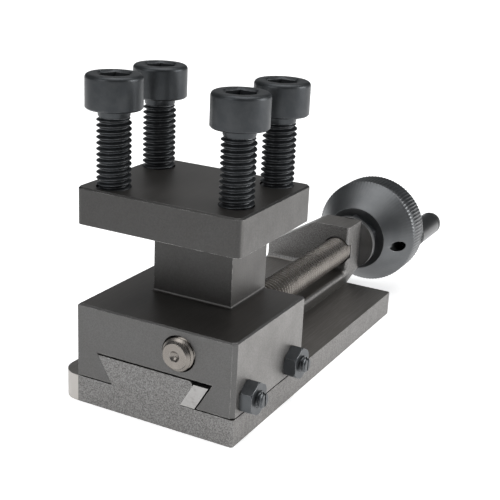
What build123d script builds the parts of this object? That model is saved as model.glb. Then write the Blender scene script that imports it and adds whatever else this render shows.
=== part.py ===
from build123d import *
import os

# Small lathe top slide with a four-screw tool post.  All sizes are in millimetres.
# Origin: centre of the base's underside.  X runs across the slide, +Y along it towards the
# handwheel, and +Z up.

# Base slab and ear
WIDTH = 32.0
BASE_LENGTH = 72.6
SLAB_HEIGHT = 5.1
EDGE_BREAK = 0.3
EAR_WIDTH = 4.2
EAR_LENGTH = 9.0
EAR_RADIUS = 3.7

# Male dovetail on the base
DOVETAIL_ANGLE = 60.0
DOVETAIL_TOP = 10.2
DOVETAIL_LEFT = -11.6
DOVETAIL_RIGHT = 7.8
DOVETAIL_LAND = 0.9
DOVETAIL_ROUND = 0.7

# Bearing lug at the rear end of the dovetail
LUG_THICKNESS = 7.0
LUG_TOP = 20.4
LUG_LEFT_HEIGHT = 13.4
LUG_SHOULDER_X = -0.5
LUG_SHOULDER_RADIUS = 4.0
LUG_FOOT_RADIUS = 1.0
LUG_COUNTERBORE_RADIUS = 3.2
LUG_COUNTERBORE_DEPTH = 2.0

# Saddle with its neck and clamp plate, one solid block
SADDLE_LENGTH = 25.8
SADDLE_TOP = 19.1
SADDLE_CORNER = 0.7
GROOVE_TOP = 10.55
GROOVE_RIGHT = 11.8
NECK_LEFT = -8.5
NECK_RIGHT = 7.7
NECK_LENGTH = 12.9
NECK_FOOT_RADIUS = 0.5
PLATE_BOTTOM = 33.9
PLATE_TOP = 40.5
PLATE_OVERHANG = 0.3
PLATE_CORNER_RADIUS = 1.2
OVERLAP = 1.0

# Running clearances
SLIDE_GAP = 0.25
FLANK_GAP = 0.05
HOLE_CLEARANCE = 0.05
END_PLAY = 0.05

# Gib strip, its screws and lock nuts (M3)
GIB_THICKNESS = 2.5
GIB_TOP = 9.7
GIB_SCREW_INSET = 4.5
GIB_SCREW_Z = 8.0
GIB_SCREW_RADIUS = 1.5
GIB_DOG_RADIUS = 1.0
GIB_DOG_LENGTH = 2.0
GIB_DOG_CLEARANCE = 0.1
GIB_POCKET_DEPTH = 0.9
GIB_SCREW_STANDOUT = 1.2
GIB_NUT_FLATS = 5.5
GIB_NUT_HEIGHT = 2.4
GIB_SLOT_WIDTH = 0.5
GIB_SLOT_DEPTH = 0.8

# Lead screw (M6 x 1) with an M5 tail that carries the handwheel
SCREW_X = 5.0
SCREW_Z = 14.65
SCREW_RADIUS = 3.0
SCREW_STANDOUT = 1.4
SCREW_CHAMFER = 0.7
SCREW_CENTRE_RADIUS = 1.0
SCREW_CENTRE_DEPTH = 1.2
SCREW_FRONT_HOLE_RADIUS = 3.3
JOURNAL_RADIUS = 2.5
TAIL_END = 59.0

# Washers, nuts and handwheel on the tail
THRUST_WASHER_RADIUS = 6.0
THRUST_WASHER_THICKNESS = 1.15
NUT_CORNER_TURNING = 0.12
LOCK_NUT_FLATS = 10.0
LOCK_NUT_HEIGHT = 2.7
LOCK_NUT_TURN = 30.0
CONE_FRONT_RADIUS = 7.4
CONE_LENGTH = 6.6
WHEEL_RADIUS = 11.9
WHEEL_THICKNESS = 6.7
WHEEL_CHAMFER = 0.3
WHEEL_WASHER_RADIUS = 5.0
WHEEL_WASHER_THICKNESS = 1.0
WHEEL_NUT_FLATS = 8.0
WHEEL_NUT_HEIGHT = 4.0

# Revolving handle
HANDLE_OFFSET_X = 9.35
HANDLE_OFFSET_Z = -1.1
SPINDLE_THREAD_RADIUS = 1.2
SPINDLE_RECESS = 1.4
SPINDLE_RADIUS = 1.7
GRIP_RADIUS = 2.7
GRIP_LENGTH = 11.2
GRIP_CLEARANCE = 0.08
GRIP_END_GAP = 0.15
HANDLE_DOME_LENGTH = 0.4
HANDLE_SLOT_WIDTH = 0.8
HANDLE_SLOT_DEPTH = 1.0

# Clamp screws (M6 x 20 socket cap)
CLAMP_RADIUS = 3.0
CLAMP_LENGTH = 20.0
CLAMP_HEAD_RADIUS = 4.9
CLAMP_HEAD_HEIGHT = 5.85
CLAMP_HEAD_ROUND = 0.75
CLAMP_SOCKET_FLATS = 5.0
CLAMP_SOCKET_DEPTH = 3.0
# Each screw's X from the slide's left side, Y from its front, and top of head.  The holes
# are drilled a little unevenly, and the screws are wound down by different amounts.
CLAMP_SPOTS = {
    "front_left": (5.1, 3.6, 59.8),
    "front_right": (27.4, 6.5, 59.2),
    "rear_left": (3.4, 20.2, 59.2),
    "rear_right": (26.9, 22.1, 58.9),
}

# Tapped holes in the underside for bolting the slide down (M5, tapping-drill size)
MOUNT_HOLE_RADIUS = 2.1
MOUNT_HOLE_DEPTH = 8.0
MOUNT_HOLE_SPACING = 48.0

FRONT_Y = -BASE_LENGTH / 2
REAR_Y = BASE_LENGTH / 2
SADDLE_REAR_Y = FRONT_Y + SADDLE_LENGTH
LUG_FRONT_Y = REAR_Y - LUG_THICKNESS
SIDE_X = WIDTH / 2
DOVETAIL_CENTRE = (DOVETAIL_LEFT + DOVETAIL_RIGHT) / 2
NUT_FRONT_Y = REAR_Y + END_PLAY + THRUST_WASHER_THICKNESS
CONE_FRONT_Y = NUT_FRONT_Y + LOCK_NUT_HEIGHT
DISC_FRONT_Y = CONE_FRONT_Y + CONE_LENGTH
DISC_REAR_Y = DISC_FRONT_Y + WHEEL_THICKNESS
HANDLE_X = SCREW_X + HANDLE_OFFSET_X
HANDLE_Z = SCREW_Z + HANDLE_OFFSET_Z
TURN_TO_Y = Rot(X=-90)
TURN_TO_X = Rot(Y=90)


def run_of(height):
    """Sideways run of a dovetail flank over a height."""
    return height / tan_deg(DOVETAIL_ANGLE)


def tan_deg(angle):
    """Tangent of an angle in degrees, from the direction of a turned vector."""
    direction = Vector(1, 0, 0).rotate(Axis.Z, angle)
    return direction.Y / direction.X


def prism_along_y(outline, start, length):
    """Solid with an XZ outline, from y = start over a length."""
    corners = [(x, start, z) for x, z in outline]
    return extrude(make_face(Polyline(*corners, close=True)), length, dir=(0, 1, 0))


def rod(radius, length):
    """Cylinder that stands on its end at the origin, along +Z."""
    return Cylinder(radius, length, align=(Align.CENTER, Align.CENTER, Align.MIN))


def box_between(low, high):
    """Box from its low corner to its high corner."""
    size = [b - a for a, b in zip(low, high)]
    return Pos(*low) * Box(*size, align=(Align.MIN, Align.MIN, Align.MIN))


def on_screw_axis(y):
    """Place a +Z solid on the lead screw's axis, starting at y and running along +Y."""
    return Pos(SCREW_X, y, SCREW_Z) * TURN_TO_Y


def on_handle_axis(y):
    """Place a +Z solid on the handle's axis, starting at y and running along +Y."""
    return Pos(HANDLE_X, y, HANDLE_Z) * TURN_TO_Y


def hex_nut(flats, height, hole_radius):
    """Hex nut standing at the origin along +Z, with turned corners and chamfered hole."""
    blank = extrude(RegularPolygon(flats / 2, 6, major_radius=False), height)
    corner_radius = flats / (3 ** 0.5)
    turned = chamfer(
        rod(corner_radius, height).edges().filter_by(GeomType.CIRCLE), height * NUT_CORNER_TURNING
    )
    return blank & turned - rod(hole_radius, height)


def washer(radius, thickness, hole_radius):
    """Flat washer standing at the origin along +Z."""
    return rod(radius, thickness) - rod(hole_radius, thickness)


def dovetail_outline():
    """XZ outline of the male dovetail, with a narrow vertical land along its right edge."""
    land_z = DOVETAIL_TOP - DOVETAIL_LAND
    foot_z = SLAB_HEIGHT - OVERLAP
    return [
        (DOVETAIL_LEFT, DOVETAIL_TOP),
        (DOVETAIL_LEFT + run_of(DOVETAIL_TOP - SLAB_HEIGHT), SLAB_HEIGHT),
        (DOVETAIL_LEFT + run_of(DOVETAIL_TOP - SLAB_HEIGHT), foot_z),
        (DOVETAIL_RIGHT - run_of(land_z - SLAB_HEIGHT), foot_z),
        (DOVETAIL_RIGHT - run_of(land_z - SLAB_HEIGHT), SLAB_HEIGHT),
        (DOVETAIL_RIGHT, land_z),
        (DOVETAIL_RIGHT, DOVETAIL_TOP),
    ]


def right_flank_x(z):
    """X of the dovetail's right flank at a height."""
    return DOVETAIL_RIGHT - run_of(DOVETAIL_TOP - DOVETAIL_LAND - z)


def lug():
    """Upright lug with a sloping left shoulder, before its bore is cut."""
    outline = [
        (DOVETAIL_LEFT, DOVETAIL_TOP),
        (DOVETAIL_LEFT, LUG_LEFT_HEIGHT),
        (LUG_SHOULDER_X, LUG_TOP),
        (DOVETAIL_RIGHT, LUG_TOP),
        (DOVETAIL_RIGHT, DOVETAIL_TOP),
    ]
    block = prism_along_y(outline, LUG_FRONT_Y, LUG_THICKNESS)
    along_y = block.edges().filter_by(Axis.Y)
    shoulder = along_y.sort_by_distance((LUG_SHOULDER_X, LUG_FRONT_Y, LUG_TOP))[0]
    return fillet(shoulder, LUG_SHOULDER_RADIUS)


def ear():
    """Rounded ear on the left of the slab, flush with its front end."""
    low = (-SIDE_X - EAR_WIDTH, FRONT_Y, 0)
    block = box_between(low, (-SIDE_X + OVERLAP, FRONT_Y + EAR_LENGTH, SLAB_HEIGHT))
    outer = block.edges().filter_by(Axis.Z).sort_by(Axis.X)[:2]
    return fillet(outer, EAR_RADIUS)


def base():
    """Slab, ear, dovetail and bearing lug in one piece."""
    slab = box_between((-SIDE_X, FRONT_Y, 0), (SIDE_X, REAR_Y, SLAB_HEIGHT))
    slab = chamfer(slab.edges().filter_by(Axis.Z).sort_by(Axis.X)[2:], EDGE_BREAK)
    body = slab + ear()
    body += prism_along_y(dovetail_outline(), FRONT_Y, BASE_LENGTH)
    body += lug()
    foot_place = (DOVETAIL_CENTRE, LUG_FRONT_Y, DOVETAIL_TOP)
    foot = body.edges().filter_by(Axis.X).sort_by_distance(foot_place)[0]
    body = fillet(foot, LUG_FOOT_RADIUS)
    corner_place = (DOVETAIL_RIGHT, LUG_FRONT_Y, LUG_TOP)
    upright = body.edges().filter_by(Axis.Z).sort_by_distance(corner_place)[0]
    body = fillet(upright, DOVETAIL_ROUND)
    body -= on_screw_axis(LUG_FRONT_Y) * rod(JOURNAL_RADIUS + HOLE_CLEARANCE, LUG_THICKNESS)
    body -= on_screw_axis(LUG_FRONT_Y - OVERLAP) * rod(
        LUG_COUNTERBORE_RADIUS, LUG_COUNTERBORE_DEPTH + OVERLAP
    )
    for side in (-1, 1):
        place = Pos(DOVETAIL_CENTRE, side * MOUNT_HOLE_SPACING / 2, 0)
        body -= place * rod(MOUNT_HOLE_RADIUS, MOUNT_HOLE_DEPTH)
    return body


def groove_outline():
    """XZ outline of the saddle's dovetail groove; its right flank leaves room for the gib."""
    floor_z = SLAB_HEIGHT + SLIDE_GAP
    gap_x = FLANK_GAP * 2 / 3 ** 0.5
    left_top = DOVETAIL_LEFT - gap_x - run_of(GROOVE_TOP - DOVETAIL_TOP)
    return [
        (left_top, GROOVE_TOP),
        (left_top + run_of(GROOVE_TOP - floor_z + OVERLAP), floor_z - OVERLAP),
        (GROOVE_RIGHT - run_of(GROOVE_TOP - floor_z + OVERLAP), floor_z - OVERLAP),
        (GROOVE_RIGHT, GROOVE_TOP),
    ]


def clamp_places():
    """Names of the four clamp screws, with their X, Y and top of head."""
    return {
        name: (x - SIDE_X, y + FRONT_Y, top) for name, (x, y, top) in CLAMP_SPOTS.items()
    }


def gib_screw_places():
    """Names of the two gib screws, with their Y."""
    return {
        "front": FRONT_Y + GIB_SCREW_INSET,
        "rear": SADDLE_REAR_Y - GIB_SCREW_INSET,
    }


def tool_post_saddle():
    """Saddle, neck and clamp plate in one piece."""
    saddle = box_between(
        (-SIDE_X, FRONT_Y, SLAB_HEIGHT + SLIDE_GAP), (SIDE_X, SADDLE_REAR_Y, SADDLE_TOP)
    )
    uprights = saddle.edges().filter_by(Axis.Z)
    saddle = chamfer(uprights.sort_by_distance((SIDE_X, FRONT_Y, SADDLE_TOP))[0], SADDLE_CORNER)
    rim = saddle.edges().group_by(Axis.Z)[-1]
    saddle = chamfer(rim.filter_by(lambda edge: edge.center().Y < SADDLE_REAR_Y - 0.1), EDGE_BREAK)
    neck_front = SADDLE_REAR_Y - NECK_LENGTH
    body = saddle + box_between(
        (NECK_LEFT, neck_front, SADDLE_TOP - OVERLAP),
        (NECK_RIGHT, SADDLE_REAR_Y, PLATE_BOTTOM + OVERLAP),
    )
    foot = body.edges().filter_by(
        lambda edge: abs(edge.center().Z - SADDLE_TOP) < 0.01
        and NECK_LEFT - 0.1 < edge.center().X < NECK_RIGHT + 0.1
        and neck_front - 0.1 < edge.center().Y < SADDLE_REAR_Y - 0.1
    )
    body = fillet(foot, NECK_FOOT_RADIUS)
    plate_front = FRONT_Y - PLATE_OVERHANG
    plate = box_between((-SIDE_X, plate_front, PLATE_BOTTOM), (SIDE_X, SADDLE_REAR_Y, PLATE_TOP))
    plate = fillet(plate.edges().filter_by(Axis.Z), PLATE_CORNER_RADIUS)
    body += chamfer(plate.edges().group_by(Axis.Z)[-1], EDGE_BREAK)
    body -= prism_along_y(groove_outline(), FRONT_Y, SADDLE_LENGTH)
    body -= on_screw_axis(FRONT_Y) * rod(SCREW_RADIUS + HOLE_CLEARANCE, SADDLE_LENGTH)
    body -= on_screw_axis(FRONT_Y) * rod(SCREW_FRONT_HOLE_RADIUS, SADDLE_LENGTH / 2)
    for x, y, _ in clamp_places().values():
        hole = rod(CLAMP_RADIUS + HOLE_CLEARANCE, PLATE_TOP - PLATE_BOTTOM)
        body -= Pos(x, y, PLATE_BOTTOM) * hole
    for y in gib_screw_places().values():
        start = right_flank_x(GIB_SCREW_Z)
        body -= Pos(start, y, GIB_SCREW_Z) * TURN_TO_X * rod(
            GIB_SCREW_RADIUS + HOLE_CLEARANCE, SIDE_X - start
        )
    return body


def gib_outer_x(z):
    """X of the gib's outer flank at a height."""
    return right_flank_x(z) + (FLANK_GAP + GIB_THICKNESS) * 2 / 3 ** 0.5


def gib_strip():
    """Parallelogram strip with a flat pocket for the nose of each gib screw."""
    foot_z = SLAB_HEIGHT + SLIDE_GAP / 2
    inner_gap = FLANK_GAP * 2 / 3 ** 0.5
    outline = [
        (right_flank_x(foot_z) + inner_gap, foot_z),
        (right_flank_x(GIB_TOP) + inner_gap, GIB_TOP),
        (gib_outer_x(GIB_TOP), GIB_TOP),
        (gib_outer_x(foot_z), foot_z),
    ]
    strip = prism_along_y(outline, FRONT_Y, SADDLE_LENGTH)
    for y in gib_screw_places().values():
        start = gib_outer_x(GIB_SCREW_Z) - GIB_POCKET_DEPTH
        strip -= Pos(start, y, GIB_SCREW_Z) * TURN_TO_X * rod(
            GIB_DOG_RADIUS + GIB_DOG_CLEARANCE, GIB_THICKNESS
        )
    return strip


def gib_screw(y):
    """Set screw along +X with a turned-down nose and a screwdriver slot in its outer end."""
    start = gib_outer_x(GIB_SCREW_Z) - GIB_POCKET_DEPTH
    end = SIDE_X + GIB_NUT_HEIGHT + GIB_SCREW_STANDOUT
    length = end - start
    shank = Pos(0, 0, GIB_DOG_LENGTH) * rod(GIB_SCREW_RADIUS, length - GIB_DOG_LENGTH)
    shank = chamfer(shank.edges().group_by(Axis.Z)[-1], EDGE_BREAK)
    slot = Pos(0, 0, length - GIB_SLOT_DEPTH / 2) * Box(
        GIB_SCREW_RADIUS * 3, GIB_SLOT_WIDTH, GIB_SLOT_DEPTH
    )
    screw = rod(GIB_DOG_RADIUS, length / 2) + shank - slot
    return Pos(start, y, GIB_SCREW_Z) * TURN_TO_X * screw


def gib_lock_nut(y):
    """Lock nut of a gib screw, seated on the saddle's right face."""
    nut = hex_nut(GIB_NUT_FLATS, GIB_NUT_HEIGHT, GIB_SCREW_RADIUS + HOLE_CLEARANCE)
    return Pos(SIDE_X, y, GIB_SCREW_Z) * TURN_TO_X * nut


def clamp_screw(x, y, top):
    """Socket cap screw, head up."""
    head = rod(CLAMP_HEAD_RADIUS, CLAMP_HEAD_HEIGHT)
    head = fillet(head.edges().group_by(Axis.Z)[-1], CLAMP_HEAD_ROUND)
    head = chamfer(head.edges().filter_by(GeomType.CIRCLE).group_by(Axis.Z)[0], EDGE_BREAK)
    socket = extrude(RegularPolygon(CLAMP_SOCKET_FLATS / 2, 6, major_radius=False), CLAMP_SOCKET_DEPTH)
    head -= Pos(0, 0, CLAMP_HEAD_HEIGHT - CLAMP_SOCKET_DEPTH) * socket
    shank = rod(CLAMP_RADIUS, CLAMP_LENGTH)
    shank = chamfer(shank.edges().group_by(Axis.Z)[0], EDGE_BREAK)
    screw = head + Pos(0, 0, -CLAMP_LENGTH) * shank
    return Pos(x, y, top - CLAMP_HEAD_HEIGHT) * screw


def lead_screw():
    """Lead screw with a centre-drilled front end, a shouldered journal and a threaded tail."""
    shoulder_y = LUG_FRONT_Y + LUG_COUNTERBORE_DEPTH - END_PLAY
    start = FRONT_Y - SCREW_STANDOUT
    thread = rod(SCREW_RADIUS, shoulder_y - start)
    thread = chamfer(thread.edges().group_by(Axis.Z)[0], SCREW_CHAMFER)
    tail = rod(JOURNAL_RADIUS, TAIL_END - start)
    tail = chamfer(tail.edges().group_by(Axis.Z)[-1], EDGE_BREAK)
    centre = Cone(
        SCREW_CENTRE_RADIUS, 0, SCREW_CENTRE_DEPTH, align=(Align.CENTER, Align.CENTER, Align.MIN)
    )
    return on_screw_axis(start) * (thread + tail - centre)


def thrust_washer():
    """Washer between the lug and the lock nut."""
    return on_screw_axis(REAR_Y + END_PLAY) * washer(
        THRUST_WASHER_RADIUS, THRUST_WASHER_THICKNESS, JOURNAL_RADIUS + HOLE_CLEARANCE
    )


def lead_screw_lock_nut():
    """Thin nut that sets the lead screw's end play."""
    nut = hex_nut(LOCK_NUT_FLATS, LOCK_NUT_HEIGHT, JOURNAL_RADIUS + HOLE_CLEARANCE)
    return on_screw_axis(NUT_FRONT_Y) * Rot(Z=LOCK_NUT_TURN) * nut


def handwheel():
    """Disc with a conical front in one piece, with a hole for the handle's spindle."""
    length = CONE_LENGTH + WHEEL_THICKNESS
    disc = rod(WHEEL_RADIUS, WHEEL_THICKNESS)
    disc = chamfer(disc.edges().filter_by(GeomType.CIRCLE), WHEEL_CHAMFER)
    front = Cone(
        CONE_FRONT_RADIUS,
        WHEEL_RADIUS - WHEEL_CHAMFER,
        CONE_LENGTH,
        align=(Align.CENTER, Align.CENTER, Align.MIN),
    )
    front = chamfer(front.edges().group_by(Axis.Z)[0], EDGE_BREAK)
    wheel = front + Pos(0, 0, CONE_LENGTH) * disc
    wheel -= rod(JOURNAL_RADIUS + HOLE_CLEARANCE, length)
    wheel = on_screw_axis(CONE_FRONT_Y) * wheel
    return wheel - on_handle_axis(CONE_FRONT_Y) * rod(SPINDLE_THREAD_RADIUS + HOLE_CLEARANCE, length)


def wheel_washer():
    """Washer behind the handwheel."""
    return on_screw_axis(DISC_REAR_Y) * washer(
        WHEEL_WASHER_RADIUS, WHEEL_WASHER_THICKNESS, JOURNAL_RADIUS + HOLE_CLEARANCE
    )


def wheel_nut():
    """Nut that holds the handwheel on the tail."""
    nut = hex_nut(WHEEL_NUT_FLATS, WHEEL_NUT_HEIGHT, JOURNAL_RADIUS + HOLE_CLEARANCE)
    return on_screw_axis(DISC_REAR_Y + WHEEL_WASHER_THICKNESS) * nut


def handle_spindle():
    """Shoulder screw that holds the grip, with a domed, slotted head."""
    thread_start = DISC_FRONT_Y + SPINDLE_RECESS
    head_start = DISC_REAR_Y + GRIP_LENGTH + 2 * GRIP_END_GAP
    dome_centre = head_start + HANDLE_DOME_LENGTH
    spindle = on_handle_axis(thread_start) * rod(SPINDLE_THREAD_RADIUS, head_start - thread_start)
    spindle += on_handle_axis(DISC_REAR_Y) * rod(SPINDLE_RADIUS, head_start - DISC_REAR_Y)
    spindle += on_handle_axis(head_start) * rod(GRIP_RADIUS, HANDLE_DOME_LENGTH)
    ball = Sphere(GRIP_RADIUS) & rod(GRIP_RADIUS, GRIP_RADIUS)
    spindle += on_handle_axis(dome_centre) * ball
    slot = Pos(0, 0, GRIP_RADIUS) * Box(GRIP_RADIUS * 3, HANDLE_SLOT_WIDTH, HANDLE_SLOT_DEPTH * 2)
    return spindle - on_handle_axis(dome_centre) * slot


def handle_grip():
    """Sleeve that turns on the spindle."""
    sleeve = rod(GRIP_RADIUS, GRIP_LENGTH) - rod(SPINDLE_RADIUS + GRIP_CLEARANCE, GRIP_LENGTH)
    circles = sleeve.edges().filter_by(GeomType.CIRCLE)
    outer = circles.filter_by(lambda edge: abs(edge.radius - GRIP_RADIUS) < 0.01)
    return on_handle_axis(DISC_REAR_Y + GRIP_END_GAP) * chamfer(outer, EDGE_BREAK)


def all_parts():
    """Every node's name with its solid."""
    parts = {
        "base": base(),
        "tool_post_saddle": tool_post_saddle(),
        "gib_strip": gib_strip(),
        "lead_screw": lead_screw(),
        "thrust_washer": thrust_washer(),
        "lead_screw_lock_nut": lead_screw_lock_nut(),
        "handwheel": handwheel(),
        "wheel_washer": wheel_washer(),
        "wheel_nut": wheel_nut(),
        "handle_spindle": handle_spindle(),
        "handle_grip": handle_grip(),
    }
    for place, y in gib_screw_places().items():
        parts["gib_screw_" + place] = gib_screw(y)
        parts["gib_lock_nut_" + place] = gib_lock_nut(y)
    for place, spot in clamp_places().items():
        parts["clamp_screw_" + place] = clamp_screw(*spot)
    return parts


os.makedirs("parts", exist_ok=True)
for name, solid in all_parts().items():
    export_step(solid, f"parts/{name}.step")
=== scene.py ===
import bpy
import bmesh
import math
from mathutils import Matrix, Vector


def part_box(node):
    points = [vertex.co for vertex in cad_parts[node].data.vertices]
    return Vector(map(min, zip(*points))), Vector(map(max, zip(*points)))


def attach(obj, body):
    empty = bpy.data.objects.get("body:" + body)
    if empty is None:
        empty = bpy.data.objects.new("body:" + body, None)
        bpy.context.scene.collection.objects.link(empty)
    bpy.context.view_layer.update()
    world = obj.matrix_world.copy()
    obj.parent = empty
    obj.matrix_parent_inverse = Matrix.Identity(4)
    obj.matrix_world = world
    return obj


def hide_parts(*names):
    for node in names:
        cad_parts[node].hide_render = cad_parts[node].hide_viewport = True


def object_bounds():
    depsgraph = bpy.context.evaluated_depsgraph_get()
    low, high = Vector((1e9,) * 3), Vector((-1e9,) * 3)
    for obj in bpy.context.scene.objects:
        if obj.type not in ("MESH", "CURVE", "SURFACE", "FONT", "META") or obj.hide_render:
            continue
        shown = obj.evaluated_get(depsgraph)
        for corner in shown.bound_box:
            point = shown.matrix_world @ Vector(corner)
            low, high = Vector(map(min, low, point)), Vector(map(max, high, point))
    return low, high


# Looks of the small lathe top slide.  Metres, in the frame of the CAD model.

MM = 0.001

# Threads: pitches, and the ISO profile over one pitch as (distance along, how far sunk)
SCREW_PITCH = 1.0 * MM
TAIL_PITCH = 0.8 * MM
GIB_PITCH = 0.5 * MM
THREAD_STEPS = 48
THREAD_DEPTH_PER_PITCH = 0.6134
THREAD_END_CHAMFER = 0.7
THREAD_PROFILE = (
    (0.00, 1.00),
    (0.09, 0.97),
    (0.20, 0.66),
    (0.36, 0.20),
    (0.43, 0.04),
    (0.50, 0.00),
    (0.57, 0.04),
    (0.64, 0.20),
    (0.80, 0.66),
    (0.91, 0.97),
)

# Lead screw
JOURNAL_RADIUS = 2.5 * MM
JOURNAL_OVERLAP = 0.5 * MM
SHOULDER_BACK = 5.05 * MM
TAIL_THREAD_START = 0.6 * MM
CENTRE_RADIUS = 1.0 * MM
CENTRE_DEPTH = 1.2 * MM

# Handwheel
CONE_FRONT_RADIUS = 7.4 * MM
CONE_LENGTH = 6.6 * MM
WHEEL_BORE = 2.4 * MM
WHEEL_EDGE = 0.3 * MM
SERRATIONS = 96
SERRATION_STEPS = 4
SERRATION_DEPTH = 0.13 * MM
HANDLE_HOLE_RADIUS = 1.25 * MM
HANDLE_HOLE_END = 8.0 * MM
DRILL_START = 0.5 * MM

# Clamp screws
SOCKET_FLATS = 5.0 * MM
SOCKET_DEPTH = 3.0 * MM
SOCKET_MOUTH_PER_FLATS = 0.62
HEAD_ROUND = 0.75 * MM
HEAD_HEIGHT = 5.85 * MM
HEAD_FOOT = 0.25 * MM
NECK_LENGTH = 1.1 * MM
NECK_RADIUS = 2.75 * MM
CLAMP_RADIUS = 3.0 * MM

# Gib screws
GIB_SCREW_RADIUS = 1.5 * MM
GIB_SLOT_WIDTH = 0.5 * MM
GIB_SLOT_DEPTH = 0.8 * MM
GIB_NOSE_RADIUS = 1.0 * MM
GIB_NOSE_LENGTH = 2.0 * MM

# Places on the blocks where the tone changes: painted shade above the saddle's top, a painted
# reflection beyond the ear's edge
SADDLE_TOP = 19.1 * MM
SHADE_STEP = 0.5 * MM
EAR_EDGE = -16.0 * MM
EAR_EDGE_WIDTH = 0.1 * MM

# Finishes: sizes of their features, how far those are drawn out, and heights of their relief
BLOCK_CLOUD_SIZE = 6 * MM
GRAIN_SIZE = 0.24 * MM
GRAIN_DEPTH = 0.006 * MM
BRUSH_SIZE = 0.14 * MM
BRUSH_STRETCH = 45
BRUSH_HEIGHT = 0.004 * MM
GIB_LINE_SIZE = 0.1 * MM
GIB_LINE_STRETCH = 30
GIB_LINE_HEIGHT = 0.006 * MM
GIB_STAIN_SIZE = 1.1 * MM
OXIDE_CLOUD_SIZE = 2.2 * MM
OXIDE_GRAIN_SIZE = 0.16 * MM
OXIDE_GRAIN_HEIGHT = 0.005 * MM
TURNED_RING_SIZE = 0.16 * MM
TURNED_RING_HEIGHT = 0.006 * MM
TURNED_CLOUD_SIZE = 4 * MM

# Widths of the worn edges, which also carry a painted edge highlight
BLOCK_RUB_AND_HIGHLIGHT = 0.14 * MM
OXIDE_RUB_AND_HIGHLIGHT = 0.12 * MM
TURNED_RUB_AND_HIGHLIGHT = 0.15 * MM

# Where a value's smooth step from 0 to 1 starts and ends
FACING_STEP = (0.75, 0.92)
RUBBED_AND_HIGHLIT_EDGE_STEP = (0.995, 0.88)
WORN_PATCH_STEP = (0.36, 0.66)
BLOCK_CLOUD_STEP = (0.3, 0.7)
GRAIN_STEP = (0.34, 0.66)
BRUSH_STEP = (0.42, 0.66)
GIB_STAIN_STEP = (0.45, 0.72)
CLOUD_STEP = (0.35, 0.7)

# Mesh detail
RING_STEPS = 96
WELD_DISTANCE = 1e-7
SMALL_CHAMFER = 0.3 * MM
SHARP_DEGREES = 35.0

# Camera: the point it looks at, and how it looks at it
CAMERA_TARGET = Vector((0.0022, -0.0065, 0.0243))
CAMERA_AZIMUTH = 27.41
CAMERA_ELEVATION = 18.89
CAMERA_ROLL = 2.74
CAMERA_DISTANCE = 0.2
CAMERA_LENS = 75.4
CAMERA_CLIP = 0.01

# Floor
FLOOR_HALF_SIZE = 4.0
FLOOR_GLOW = 0.6

# Lights: name, place, point aimed at, size in metres and power in watts
LIGHTS = (
    ("right_light", (0.75, 0.35, 0.3), (0, 0, 0.02), 0.4, 4.0),
    ("rear_light", (-0.6, 0.8, 0.4), (0, 0, 0.03), 0.7, 0.22),
    ("front_light", (-0.25, -0.8, 0.45), (0, 0, 0.02), 0.5, 2.0),
    ("top_light", (0.0, 0.1, 1.1), (0, 0.1, 0), 1.2, 10.0),
)
WORLD_COLOUR = (0.9, 0.95, 1.0, 1)
WORLD_STRENGTH = 0.12

SCREW_BODY = "lead_screw_and_wheel"
CORNERS = ("front_left", "front_right", "rear_left", "rear_right")


# ---------------------------------------------------------------- mesh helpers


def mark_sharp(bm):
    """Shade a bmesh smooth, apart from its sharp edges."""
    for face in bm.faces:
        face.smooth = True
    for edge in bm.edges:
        bend = edge.calc_face_angle(0.0) if len(edge.link_faces) == 2 else math.pi
        edge.smooth = bend < math.radians(SHARP_DEGREES)


def new_object(name, bm):
    """Object from a bmesh, welded and with its normals outwards.  Frees the bmesh."""
    bmesh.ops.remove_doubles(bm, verts=bm.verts, dist=WELD_DISTANCE)
    bmesh.ops.dissolve_degenerate(bm, edges=bm.edges, dist=WELD_DISTANCE)
    bmesh.ops.recalc_face_normals(bm, faces=bm.faces)
    mark_sharp(bm)
    mesh = bpy.data.meshes.new(name)
    bm.to_mesh(mesh)
    bm.free()
    obj = bpy.data.objects.new(name, mesh)
    bpy.context.scene.collection.objects.link(obj)
    return obj


def cut(obj, bm, place):
    """Take a bmesh's shape out of an object."""
    bmesh.ops.transform(bm, matrix=place, verts=bm.verts)
    cutter = new_object("cutter", bm)
    modifier = obj.modifiers.new("cut", "BOOLEAN")
    modifier.object = cutter
    modifier.solver = "EXACT"
    evaluated = obj.evaluated_get(bpy.context.evaluated_depsgraph_get())
    result = bmesh.new()
    result.from_mesh(evaluated.to_mesh())
    mark_sharp(result)
    obj.modifiers.remove(modifier)
    result.to_mesh(obj.data)
    result.free()
    bpy.data.objects.remove(cutter)


def join_rings(bm, rings):
    """Quads between successive closed rings of points.  Returns the rings' vertices."""
    rows = [[bm.verts.new(point) for point in points] for points in rings]
    count = len(rows[0])
    for low, high in zip(rows, rows[1:]):
        for i in range(count):
            j = (i + 1) % count
            bm.faces.new((low[i], low[j], high[j], high[i]))
    return rows


def fill_ring(bm, row, point):
    """Triangles from a closed ring of vertices to one point."""
    middle = bm.verts.new(point)
    for i in range(len(row)):
        bm.faces.new((row[i], row[(i + 1) % len(row)], middle))


def add_rings(bm, rings):
    """Closed shape through successive rings of points, with the first and last filled in."""
    rows = join_rings(bm, rings)
    for row in (rows[0], rows[-1]):
        fill_ring(bm, row, sum((v.co for v in row), Vector()) / len(row))


def ring(z, radius, steps=RING_STEPS):
    """Ring about +Z at a height; radius is a length, or a function of the angle."""
    points = []
    for i in range(steps):
        angle = 2 * math.pi * i / steps
        r = radius(angle) if callable(radius) else radius
        points.append(Vector((r * math.cos(angle), r * math.sin(angle), z)))
    return points


def hexagon(flats):
    """A regular hexagon for ring(), by its distance across flats."""
    def radius(angle):
        turn = math.fmod(angle, math.pi / 3) - math.pi / 6
        return flats / 2 / math.cos(turn)
    return radius


def serrated(radius):
    """A circle with V-shaped serrations for ring()."""
    def value(angle):
        phase = (angle * SERRATIONS / (2 * math.pi)) % 1.0
        return radius - SERRATION_DEPTH * abs(2 * phase - 1)
    return value


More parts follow.
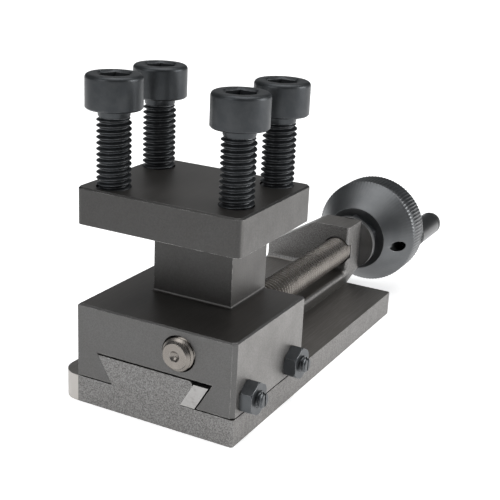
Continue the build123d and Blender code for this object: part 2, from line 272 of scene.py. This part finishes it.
def arc_rings(z, radius, size, start, end, steps=RING_STEPS, count=6):
    """Rings along a round of a turned edge, from one angle to another in degrees."""
    rings = []
    for i in range(count + 1):
        angle = math.radians(start + (end - start) * i / count)
        rings.append(ring(z + size * math.sin(angle), radius + size * math.cos(angle), steps))
    return rings


def add_thread(bm, radius, pitch, start, end):
    """Right-hand thread about +Z from start to end, with chamfered ends.

    Its rows follow the helix.  Returns the radius of the ends.
    """
    depth = THREAD_DEPTH_PER_PITCH * pitch
    end_radius = radius - THREAD_END_CHAMFER * pitch
    rows = len(THREAD_PROFILE)
    last = (math.ceil((end - start) / pitch) + 1) * THREAD_STEPS

    def point(step, row):
        along, sunk = THREAD_PROFILE[row]
        z = start - pitch + pitch * (step / THREAD_STEPS + along)
        inside = min(z - start, end - z)
        r = min(radius - depth * sunk, end_radius + max(inside, 0.0))
        angle = 2 * math.pi * step / THREAD_STEPS
        return (r * math.cos(angle), r * math.sin(angle), min(max(z, start), end))

    grid = {}
    for step in range(last + THREAD_STEPS + 1):
        for row in range(rows):
            grid[step, row] = bm.verts.new(point(step, row))

    def at(step, row):
        return grid[step + THREAD_STEPS, 0] if row == rows else grid[step, row]

    for step in range(last):
        for row in range(rows):
            near = (at(step, row), at(step + 1, row))
            far = (at(step + 1, row + 1), at(step, row + 1))
            bm.faces.new(near + far)
    return end_radius


def cap(bm, z, radius, centre_radius=0.0, centre_z=None):
    """Flat end of a rod, with a conical centre hole if it has a radius."""
    rings = [ring(z, radius, THREAD_STEPS)]
    if centre_radius:
        rings.append(ring(z, centre_radius, THREAD_STEPS))
    rows = join_rings(bm, rings)
    fill_ring(bm, rows[-1], (0, 0, z if centre_z is None else centre_z))


def along_y(x, y, z):
    """Matrix that lays a +Z shape along +Y from a point."""
    return Matrix.Translation((x, y, z)) @ Matrix.Rotation(-math.pi / 2, 4, "X")


def along_x(x, y, z):
    """Matrix that lays a +Z shape along +X from a point."""
    return Matrix.Translation((x, y, z)) @ Matrix.Rotation(math.pi / 2, 4, "Y")


def middle_of(node):
    """Middle of a node's box."""
    low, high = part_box(node)
    return (low + high) / 2


# ---------------------------------------------------------------- materials


def grey(value, warm=0.0):
    """A grey in linear light, a little warmer or cooler."""
    return (value * (1 + warm), value, value * (1 - warm), 1.0)


class Surface:
    """A node material for one kind of steel, built up a feature at a time."""

    def __init__(self, name, colour, rough, metallic=1.0):
        self.material = bpy.data.materials.new(name)
        self.material.use_nodes = True
        self.tree = self.material.node_tree
        self.shader = self.tree.nodes["Principled BSDF"]
        self.shader.inputs["Metallic"].default_value = metallic
        self.place = self.node("ShaderNodeTexCoord").outputs["Object"]
        self.colour = colour
        self.rough = rough
        self.height = None

    def node(self, kind, **settings):
        made = self.tree.nodes.new(kind)
        for key, value in settings.items():
            setattr(made, key, value)
        return made

    def link(self, source, target):
        """Connect an output to a socket, or set the socket to a plain value."""
        if hasattr(source, "is_output"):
            self.tree.links.new(source, target)
        else:
            target.default_value = source

    def maths(self, operation, *values):
        made = self.node("ShaderNodeMath", operation=operation)
        for value, target in zip(values, made.inputs):
            self.link(value, target)
        return made.outputs[0]

    def vector_maths(self, operation, *values):
        made = self.node("ShaderNodeVectorMath", operation=operation)
        for value, target in zip(values, made.inputs):
            self.link(value, target)
        return made.outputs["Value" if operation in ("LENGTH", "DOT_PRODUCT") else "Vector"]

    def mix(self, amount, low, high):
        """Blend of two colours."""
        made = self.node("ShaderNodeMix", data_type="RGBA")
        colours = [socket for socket in made.inputs if socket.type == "RGBA"]
        for source, target in zip((amount, low, high), (made.inputs[0], *colours)):
            self.link(source, target)
        return next(socket for socket in made.outputs if socket.type == "RGBA")

    def blend(self, amount, low, high):
        """Blend of two numbers."""
        return self.maths("MULTIPLY_ADD", amount, self.maths("SUBTRACT", high, low), low)

    def span(self, value, low, high, new_low=0.0, new_high=1.0):
        """Smooth step from one range to another."""
        made = self.node("ShaderNodeMapRange", interpolation_type="SMOOTHSTEP")
        for number, target in zip((value, low, high, new_low, new_high), made.inputs):
            self.link(number, target)
        return made.outputs[0]

    def noise(self, size, stretch=(1, 1, 1), detail=4.0, roughness=0.55, seed=0.0):
        """Noise from 0 to 1 with a feature size in metres, drawn out along an axis by stretch."""
        mapping = self.node("ShaderNodeMapping")
        self.link(self.place, mapping.inputs["Vector"])
        mapping.inputs["Scale"].default_value = [1 / (size * s) for s in stretch]
        mapping.inputs["Location"].default_value = (seed, seed, seed)
        made = self.node("ShaderNodeTexNoise")
        made.inputs["Scale"].default_value = 1.0
        made.inputs["Detail"].default_value = detail
        made.inputs["Roughness"].default_value = roughness
        self.link(mapping.outputs[0], made.inputs["Vector"])
        return made.outputs["Fac"]

    def distance_from(self, centre, axis):
        """Distance from a line through a point along an axis."""
        offset = self.vector_maths("SUBTRACT", self.place, centre)
        flat = [0.0 if a == axis else 1.0 for a in "XYZ"]
        return self.vector_maths("LENGTH", self.vector_maths("MULTIPLY", offset, flat))

    def part_of_place(self, axis):
        """One coordinate of the point being shaded."""
        parts = self.node("ShaderNodeSeparateXYZ")
        self.link(self.place, parts.inputs[0])
        return parts.outputs[axis]

    def facing(self, axis):
        """1 where the surface faces along an axis, either way, and 0 elsewhere."""
        turn = self.node(
            "ShaderNodeVectorTransform",
            vector_type="NORMAL",
            convert_from="WORLD",
            convert_to="OBJECT",
        )
        self.link(self.node("ShaderNodeNewGeometry").outputs["True Normal"], turn.inputs[0])
        parts = self.node("ShaderNodeSeparateXYZ")
        self.link(turn.outputs[0], parts.inputs[0])
        return self.span(self.maths("ABSOLUTE", parts.outputs[axis]), *FACING_STEP)

    def tint(self, amount, colour):
        """Blend a colour in by an amount."""
        self.colour = self.mix(amount, self.colour, colour)

    def roughen(self, amount, swing):
        """Add up to swing to the roughness."""
        self.rough = self.maths("MULTIPLY_ADD", amount, swing, self.rough)

    def raise_by(self, amount, height):
        """Add relief, with its height in metres."""
        scaled = self.maths("MULTIPLY", amount, height)
        self.height = scaled if self.height is None else self.maths("ADD", self.height, scaled)

    def rub_and_highlight_edges(self, width, colour, strength, rough=0.32, patch=1.2 * MM):
        """Round the edges off and paint them bright in patches: rubbed bare metal, and a painted
        edge highlight.
        """
        bevel = self.node("ShaderNodeBevel", samples=6)
        bevel.inputs["Radius"].default_value = width
        normal = self.node("ShaderNodeNewGeometry").outputs["Normal"]
        bend = self.vector_maths("DOT_PRODUCT", bevel.outputs[0], normal)
        edge = self.span(bend, *RUBBED_AND_HIGHLIT_EDGE_STEP)
        patchy = self.span(self.noise(patch, detail=5.0, seed=3.1), *WORN_PATCH_STEP)
        mask = self.maths("MULTIPLY", self.maths("MULTIPLY", edge, patchy), strength)
        # Painted edge highlight on top of rubbed bare metal: the patchy edge band is tinted
        # bright
        self.tint(mask, colour)
        self.rough = self.blend(mask, self.rough, rough)
        return bevel.outputs[0]

    def finish(self, normal=None):
        """Connect everything to the shader."""
        self.link(self.colour, self.shader.inputs["Base Color"])
        self.link(self.rough, self.shader.inputs["Roughness"])
        if self.height is not None:
            bump = self.node("ShaderNodeBump")
            bump.inputs["Distance"].default_value = 1.0
            self.link(self.height, bump.inputs["Height"])
            if normal is not None:
                self.link(normal, bump.inputs["Normal"])
            normal = bump.outputs[0]
        if normal is not None:
            self.link(normal, self.shader.inputs["Normal"])
        return self.material


def block_steel(name, shade, side_painted_light_and_shade, top_painted_shade, mottle, upper_lit_share=1.0):
    """Blackened, milled steel: mottled ends, brushed sides and smoother, glossier tops.

    Sides and tops get their own tones by the way they face, painted light and shade.  With the
    last argument below 1 the upright faces above the saddle's top are painted darker, painted
    shade over the neck and plate.  At 1 the upright faces beyond the ear's edge are painted light
    grey instead, a painted reflection.
    """
    steel = Surface(name, grey(shade, 0.01), 0.44, metallic=0.9)
    side = steel.facing(0)
    top = steel.facing(2)
    # Painted light and shade: faces along X get their own tone, lighter on the saddle, darker on
    # the base
    steel.tint(side, grey(side_painted_light_and_shade, 0.03))
    # Painted shade: tops get a darker, warmer tone
    steel.tint(top, grey(top_painted_shade, 0.06))
    cloud = steel.span(steel.noise(BLOCK_CLOUD_SIZE, detail=5.0), *BLOCK_CLOUD_STEP)
    steel.tint(steel.maths("MULTIPLY", cloud, 0.3), grey(shade * 0.8, 0.05))
    fine = steel.noise(GRAIN_SIZE, detail=3.0, roughness=0.7)
    grain = steel.span(fine, *GRAIN_STEP)
    speck = steel.maths("MULTIPLY", grain, steel.maths("SUBTRACT", 1.0, top))
    steel.tint(steel.maths("MULTIPLY", speck, mottle), grey(shade * 0.35, 0.04))
    upright = steel.noise(BRUSH_SIZE, stretch=(1, 1, BRUSH_STRETCH), detail=3.0)
    lengthwise = steel.noise(BRUSH_SIZE, stretch=(1, BRUSH_STRETCH, 1), detail=3.0)
    milled = steel.maths("MAXIMUM", side, top)
    brushed = steel.maths("MULTIPLY", steel.blend(top, upright, lengthwise), milled)
    lines = steel.span(brushed, *BRUSH_STEP)
    steel.tint(steel.maths("MULTIPLY", lines, 0.25), grey(shade * 1.5, 0.03))
    steel.roughen(brushed, 0.14)
    steel.roughen(top, -0.1)
    steel.raise_by(brushed, BRUSH_HEIGHT)
    steel.raise_by(speck, -GRAIN_DEPTH * mottle)
    if upper_lit_share < 1.0:
        # Painted shade: upright faces above the saddle's top, on the neck and plate, are tinted
        # dark
        painted_shade_above = steel.span(steel.part_of_place("Z"), SADDLE_TOP, SADDLE_TOP + SHADE_STEP)
        painted_shade_above = steel.maths("MULTIPLY", painted_shade_above, steel.maths("SUBTRACT", 1.0, top))
        steel.tint(steel.maths("MULTIPLY", painted_shade_above, 1.0 - upper_lit_share), grey(0.02, 0.05))
    else:
        # Painted reflection: upright faces beyond the ear's edge are tinted light grey
        ear = steel.span(steel.part_of_place("X"), EAR_EDGE, EAR_EDGE - EAR_EDGE_WIDTH)
        ear = steel.maths("MULTIPLY", ear, steel.maths("SUBTRACT", 1.0, top))
        steel.tint(ear, grey(0.45, 0.05))
    # Worn edges, tinted with a painted edge highlight
    normal = steel.rub_and_highlight_edges(BLOCK_RUB_AND_HIGHLIGHT, grey(0.5, 0.02), strength=0.85)
    return steel.finish(normal)


def bright_steel(name):
    """Ground bright steel of the gib."""
    steel = Surface(name, grey(0.36, 0.02), 0.3)
    lines = steel.noise(GIB_LINE_SIZE, stretch=(1, GIB_LINE_STRETCH, 1), detail=2.0)
    steel.roughen(lines, 0.2)
    steel.raise_by(lines, GIB_LINE_HEIGHT)
    stain = steel.span(steel.noise(GIB_STAIN_SIZE, detail=4.0), *GIB_STAIN_STEP)
    steel.tint(steel.maths("MULTIPLY", stain, 0.5), grey(0.18, 0.05))
    return steel.finish()


def black_oxide(name, shade, rough, edge):
    """Black oxide finish of bought screws and nuts, bluish, with rubbed edges that carry a
    painted edge highlight too.
    """
    steel = Surface(name, grey(shade, -0.07), rough, metallic=0.85)
    cloud = steel.span(steel.noise(OXIDE_CLOUD_SIZE, detail=5.0), *CLOUD_STEP)
    steel.tint(cloud, grey(shade * 1.25, -0.05))
    grain = steel.noise(OXIDE_GRAIN_SIZE, detail=3.0)
    steel.roughen(grain, 0.16)
    steel.raise_by(grain, OXIDE_GRAIN_HEIGHT)
    # Worn edges, tinted with a painted edge highlight
    normal = steel.rub_and_highlight_edges(OXIDE_RUB_AND_HIGHLIGHT, grey(0.42, -0.02), strength=edge)
    return steel.finish(normal)


def turned_steel(name, shade, rough, centre, warm=0.0, edge=0.6):
    """Turned steel with rings round a line along Y through its centre."""
    steel = Surface(name, grey(shade, warm), rough, metallic=0.95)
    steel.shader.inputs["Anisotropic"].default_value = 0.7
    tangent = steel.node("ShaderNodeTangent", direction_type="RADIAL", axis="Y")
    steel.link(tangent.outputs[0], steel.shader.inputs["Tangent"])
    rings = steel.node("ShaderNodeTexNoise", noise_dimensions="1D")
    steel.link(steel.distance_from(centre, "Y"), rings.inputs["W"])
    rings.inputs["Scale"].default_value = 1 / TURNED_RING_SIZE
    rings.inputs["Detail"].default_value = 3.0
    steel.roughen(rings.outputs["Fac"], 0.14)
    steel.raise_by(rings.outputs["Fac"], TURNED_RING_HEIGHT)
    cloud = steel.span(steel.noise(TURNED_CLOUD_SIZE, detail=4.0), *CLOUD_STEP)
    steel.tint(steel.maths("MULTIPLY", cloud, 0.4), grey(shade * 0.65, warm))
    # Worn edges, tinted with a painted edge highlight
    normal = steel.rub_and_highlight_edges(TURNED_RUB_AND_HIGHLIGHT, grey(0.5), strength=edge)
    return steel.finish(normal)


def floor_material():
    """Plain white floor that glows a little, like a light table."""
    floor_look = Surface("white_floor", grey(0.9), 0.9, metallic=0.0)
    floor_look.shader.inputs["Emission Color"].default_value = grey(1.0)
    floor_look.shader.inputs["Emission Strength"].default_value = FLOOR_GLOW
    return floor_look.finish()


# ---------------------------------------------------------------- pieces


def paint(material, *nodes):
    """Give CAD nodes their material."""
    for node in nodes:
        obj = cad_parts[node]
        obj.data.materials.clear()
        obj.data.materials.append(material)


def add_piece(bm, place, body, material, node):
    """Place a piece, make it ride on its body and stand for its CAD node."""
    bmesh.ops.transform(bm, matrix=place, verts=bm.verts)
    obj = new_object(node + "_detail", bm)
    obj.data.materials.append(material)
    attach(obj, body)
    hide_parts(node)
    return obj


def clamp_screw(corner, material):
    """Socket cap screw with a hexagon socket, a plain neck and a thread."""
    node = "clamp_screw_" + corner
    low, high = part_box(node)
    head_radius = (high.x - low.x) / 2
    top = high.z - low.z
    head_base = top - HEAD_HEIGHT
    bm = bmesh.new()
    head = [
        ring(head_base, NECK_RADIUS),
        ring(head_base, head_radius - HEAD_FOOT),
        ring(head_base + HEAD_FOOT, head_radius),
    ]
    head += arc_rings(top - HEAD_ROUND, head_radius - HEAD_ROUND, HEAD_ROUND, 0, 90)
    head += [
        ring(top, SOCKET_FLATS * SOCKET_MOUTH_PER_FLATS),
        ring(top - SMALL_CHAMFER, hexagon(SOCKET_FLATS)),
        ring(top - SOCKET_DEPTH, hexagon(SOCKET_FLATS)),
    ]
    add_rings(bm, head)
    neck_base = head_base - NECK_LENGTH
    neck = [
        ring(neck_base - SCREW_PITCH / 2, NECK_RADIUS - THREAD_DEPTH_PER_PITCH * SCREW_PITCH / 2),
        ring(neck_base, NECK_RADIUS),
        ring(head_base + SMALL_CHAMFER, NECK_RADIUS),
    ]
    add_rings(bm, neck)
    end_radius = add_thread(bm, CLAMP_RADIUS, SCREW_PITCH, 0.0, neck_base)
    cap(bm, 0.0, end_radius)
    cap(bm, neck_base, end_radius)
    middle = (low + high) / 2
    spot = Matrix.Translation((middle.x, middle.y, low.z))
    add_piece(bm, spot, node, material, node)


def lead_screw(material):
    """Threaded lead screw with its plain journal and threaded tail."""
    low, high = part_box("lead_screw")
    middle = (low + high) / 2
    lug_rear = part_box("base")[1].y - low.y
    shoulder = lug_rear - SHOULDER_BACK
    length = high.y - low.y
    bm = bmesh.new()
    end_radius = add_thread(bm, (high.x - low.x) / 2, SCREW_PITCH, 0.0, shoulder)
    cap(bm, 0.0, end_radius, CENTRE_RADIUS, CENTRE_DEPTH)
    cap(bm, shoulder, end_radius)
    journal_end = lug_rear + TAIL_THREAD_START
    add_rings(bm, [
        ring(shoulder - JOURNAL_OVERLAP, JOURNAL_RADIUS),
        ring(journal_end + TAIL_PITCH / 4, JOURNAL_RADIUS),
    ])
    end_radius = add_thread(bm, JOURNAL_RADIUS, TAIL_PITCH, journal_end, length)
    cap(bm, journal_end, end_radius)
    cap(bm, length, end_radius)
    spot = along_y(middle.x, low.y, middle.z)
    add_piece(bm, spot, SCREW_BODY, material, "lead_screw")


def handwheel(material):
    """Disc with a conical front, a finely serrated rim and the handle's hole."""
    low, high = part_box("handwheel")
    middle = (low + high) / 2
    radius = (high.x - low.x) / 2
    length = high.y - low.y
    steps = SERRATIONS * SERRATION_STEPS
    bm = bmesh.new()
    add_rings(bm, [
        ring(SMALL_CHAMFER, WHEEL_BORE, steps),
        ring(0.0, WHEEL_BORE + SMALL_CHAMFER, steps),
        ring(0.0, CONE_FRONT_RADIUS - SMALL_CHAMFER, steps),
        ring(SMALL_CHAMFER, CONE_FRONT_RADIUS, steps),
        ring(CONE_LENGTH, radius - WHEEL_EDGE, steps),
        ring(CONE_LENGTH + WHEEL_EDGE, serrated(radius), steps),
        ring(length - WHEEL_EDGE, serrated(radius), steps),
        ring(length, radius - WHEEL_EDGE, steps),
        ring(length, WHEEL_BORE + SMALL_CHAMFER, steps),
        ring(length - SMALL_CHAMFER, WHEEL_BORE, steps),
    ])
    spot = along_y(middle.x, low.y, middle.z)
    wheel = add_piece(bm, spot, SCREW_BODY, material, "handwheel")
    drill = bmesh.new()
    add_rings(drill, [ring(z, HANDLE_HOLE_RADIUS) for z in (-DRILL_START, HANDLE_HOLE_END)])
    handle = middle_of("handle_spindle")
    cut(wheel, drill, along_y(handle.x, low.y, handle.z))


def gib_screw(place, material):
    """Slotted set screw with a turned nose."""
    node = "gib_screw_" + place
    low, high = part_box(node)
    middle = (low + high) / 2
    length = high.x - low.x
    bm = bmesh.new()
    add_rings(bm, [
        ring(0.0, GIB_NOSE_RADIUS - SMALL_CHAMFER),
        ring(SMALL_CHAMFER, GIB_NOSE_RADIUS),
        ring(GIB_NOSE_LENGTH + GIB_PITCH, GIB_NOSE_RADIUS),
    ])
    end_radius = add_thread(bm, GIB_SCREW_RADIUS, GIB_PITCH, GIB_NOSE_LENGTH, length)
    cap(bm, GIB_NOSE_LENGTH, end_radius)
    cap(bm, length, end_radius)
    spot = along_x(low.x, middle.y, middle.z)
    screw = add_piece(bm, spot, node, material, node)
    saw = bmesh.new()
    bmesh.ops.create_cube(saw, size=1.0)
    # The saw is centred on the end face, so half of its depth cuts
    blade = (2 * GIB_SLOT_DEPTH, GIB_SLOT_WIDTH, 4 * GIB_SCREW_RADIUS)
    bmesh.ops.scale(saw, vec=blade, verts=saw.verts)
    cut(screw, saw, Matrix.Translation((high.x, middle.y, middle.z)))


def floor():
    """Large plain floor under the object."""
    bm = bmesh.new()
    bmesh.ops.create_grid(bm, x_segments=1, y_segments=1, size=FLOOR_HALF_SIZE)
    obj = new_object("floor", bm)
    obj.location.z = cad_low.z
    obj.data.materials.append(floor_material())


def soft_box(name, place, target, size, power):
    """Square area light aimed at a point."""
    data = bpy.data.lights.new(name, "AREA")
    data.size = size
    data.energy = power
    obj = bpy.data.objects.new(name, data)
    obj.location = place
    obj.rotation_mode = "QUATERNION"
    obj.rotation_quaternion = (Vector(place) - Vector(target)).to_track_quat("Z", "Y")
    bpy.context.scene.collection.objects.link(obj)


def lighting():
    """Soft studio light: mostly from above and the right, some from the front, a trace behind."""
    for light in LIGHTS:
        soft_box(*light)
    world = bpy.data.worlds.new("studio")
    world.use_nodes = True
    background = world.node_tree.nodes["Background"]
    background.inputs["Color"].default_value = WORLD_COLOUR
    background.inputs["Strength"].default_value = WORLD_STRENGTH
    bpy.context.scene.world = world


def camera():
    """Camera at the viewing angle, close to the object."""
    azimuth = math.radians(CAMERA_AZIMUTH)
    elevation = math.radians(CAMERA_ELEVATION)
    flat = CAMERA_DISTANCE * math.cos(elevation)
    up = CAMERA_DISTANCE * math.sin(elevation)
    away = Vector((flat * math.sin(azimuth), -flat * math.cos(azimuth), up))
    data = bpy.data.cameras.new("camera")
    data.lens = CAMERA_LENS
    data.clip_start = CAMERA_CLIP
    obj = bpy.data.objects.new("camera", data)
    obj.location = CAMERA_TARGET + away
    obj.rotation_mode = "QUATERNION"
    roll = Matrix.Rotation(math.radians(CAMERA_ROLL), 4, "Z").to_quaternion()
    obj.rotation_quaternion = away.to_track_quat("Z", "Y") @ roll
    bpy.context.scene.collection.objects.link(obj)
    bpy.context.scene.camera = obj


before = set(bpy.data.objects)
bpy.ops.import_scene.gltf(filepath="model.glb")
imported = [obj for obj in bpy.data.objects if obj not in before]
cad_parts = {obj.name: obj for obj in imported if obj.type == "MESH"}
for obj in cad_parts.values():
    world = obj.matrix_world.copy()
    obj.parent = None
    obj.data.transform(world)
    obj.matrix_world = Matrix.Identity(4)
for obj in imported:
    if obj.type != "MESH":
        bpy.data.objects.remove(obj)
cad_low, cad_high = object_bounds()

camera()
floor()
lighting()
bpy.context.scene.view_settings.view_transform = "Standard"

axis_point = middle_of("handwheel")
base_steel = block_steel(
    "base_blackened", shade=0.27, side_painted_light_and_shade=0.24, top_painted_shade=0.18, mottle=0.9
)
paint(base_steel, "base")
saddle_steel = block_steel(
    "saddle_blackened", shade=0.13, side_painted_light_and_shade=0.29, top_painted_shade=0.11, mottle=0.28, upper_lit_share=0.5
)
paint(saddle_steel, "tool_post_saddle")
paint(bright_steel("gib_bright"), "gib_strip")
oxide = black_oxide("fastener_oxide", shade=0.075, rough=0.3, edge=0.9)
paint(oxide, "gib_lock_nut_front", "gib_lock_nut_rear")
paint(oxide, "wheel_washer", "wheel_nut", "lead_screw_lock_nut")
washer_metal = turned_steel("washer_turned", shade=0.22, rough=0.3, centre=axis_point)
paint(washer_metal, "thrust_washer")
handle_centre = middle_of("handle_grip")
handle_metal = turned_steel("handle_turned", shade=0.12, rough=0.3, centre=handle_centre)
paint(handle_metal, "handle_spindle", "handle_grip")

screw_oxide = black_oxide("clamp_screw_oxide", shade=0.05, rough=0.32, edge=0.45)
for corner in CORNERS:
    clamp_screw(corner, screw_oxide)
for end in ("front", "rear"):
    gib_screw(end, oxide)
lead_screw(
    turned_steel("lead_screw_turned", shade=0.23, rough=0.2, centre=axis_point, warm=0.09)
)
handwheel(turned_steel("wheel_turned", shade=0.125, rough=0.3, centre=axis_point, warm=-0.03))
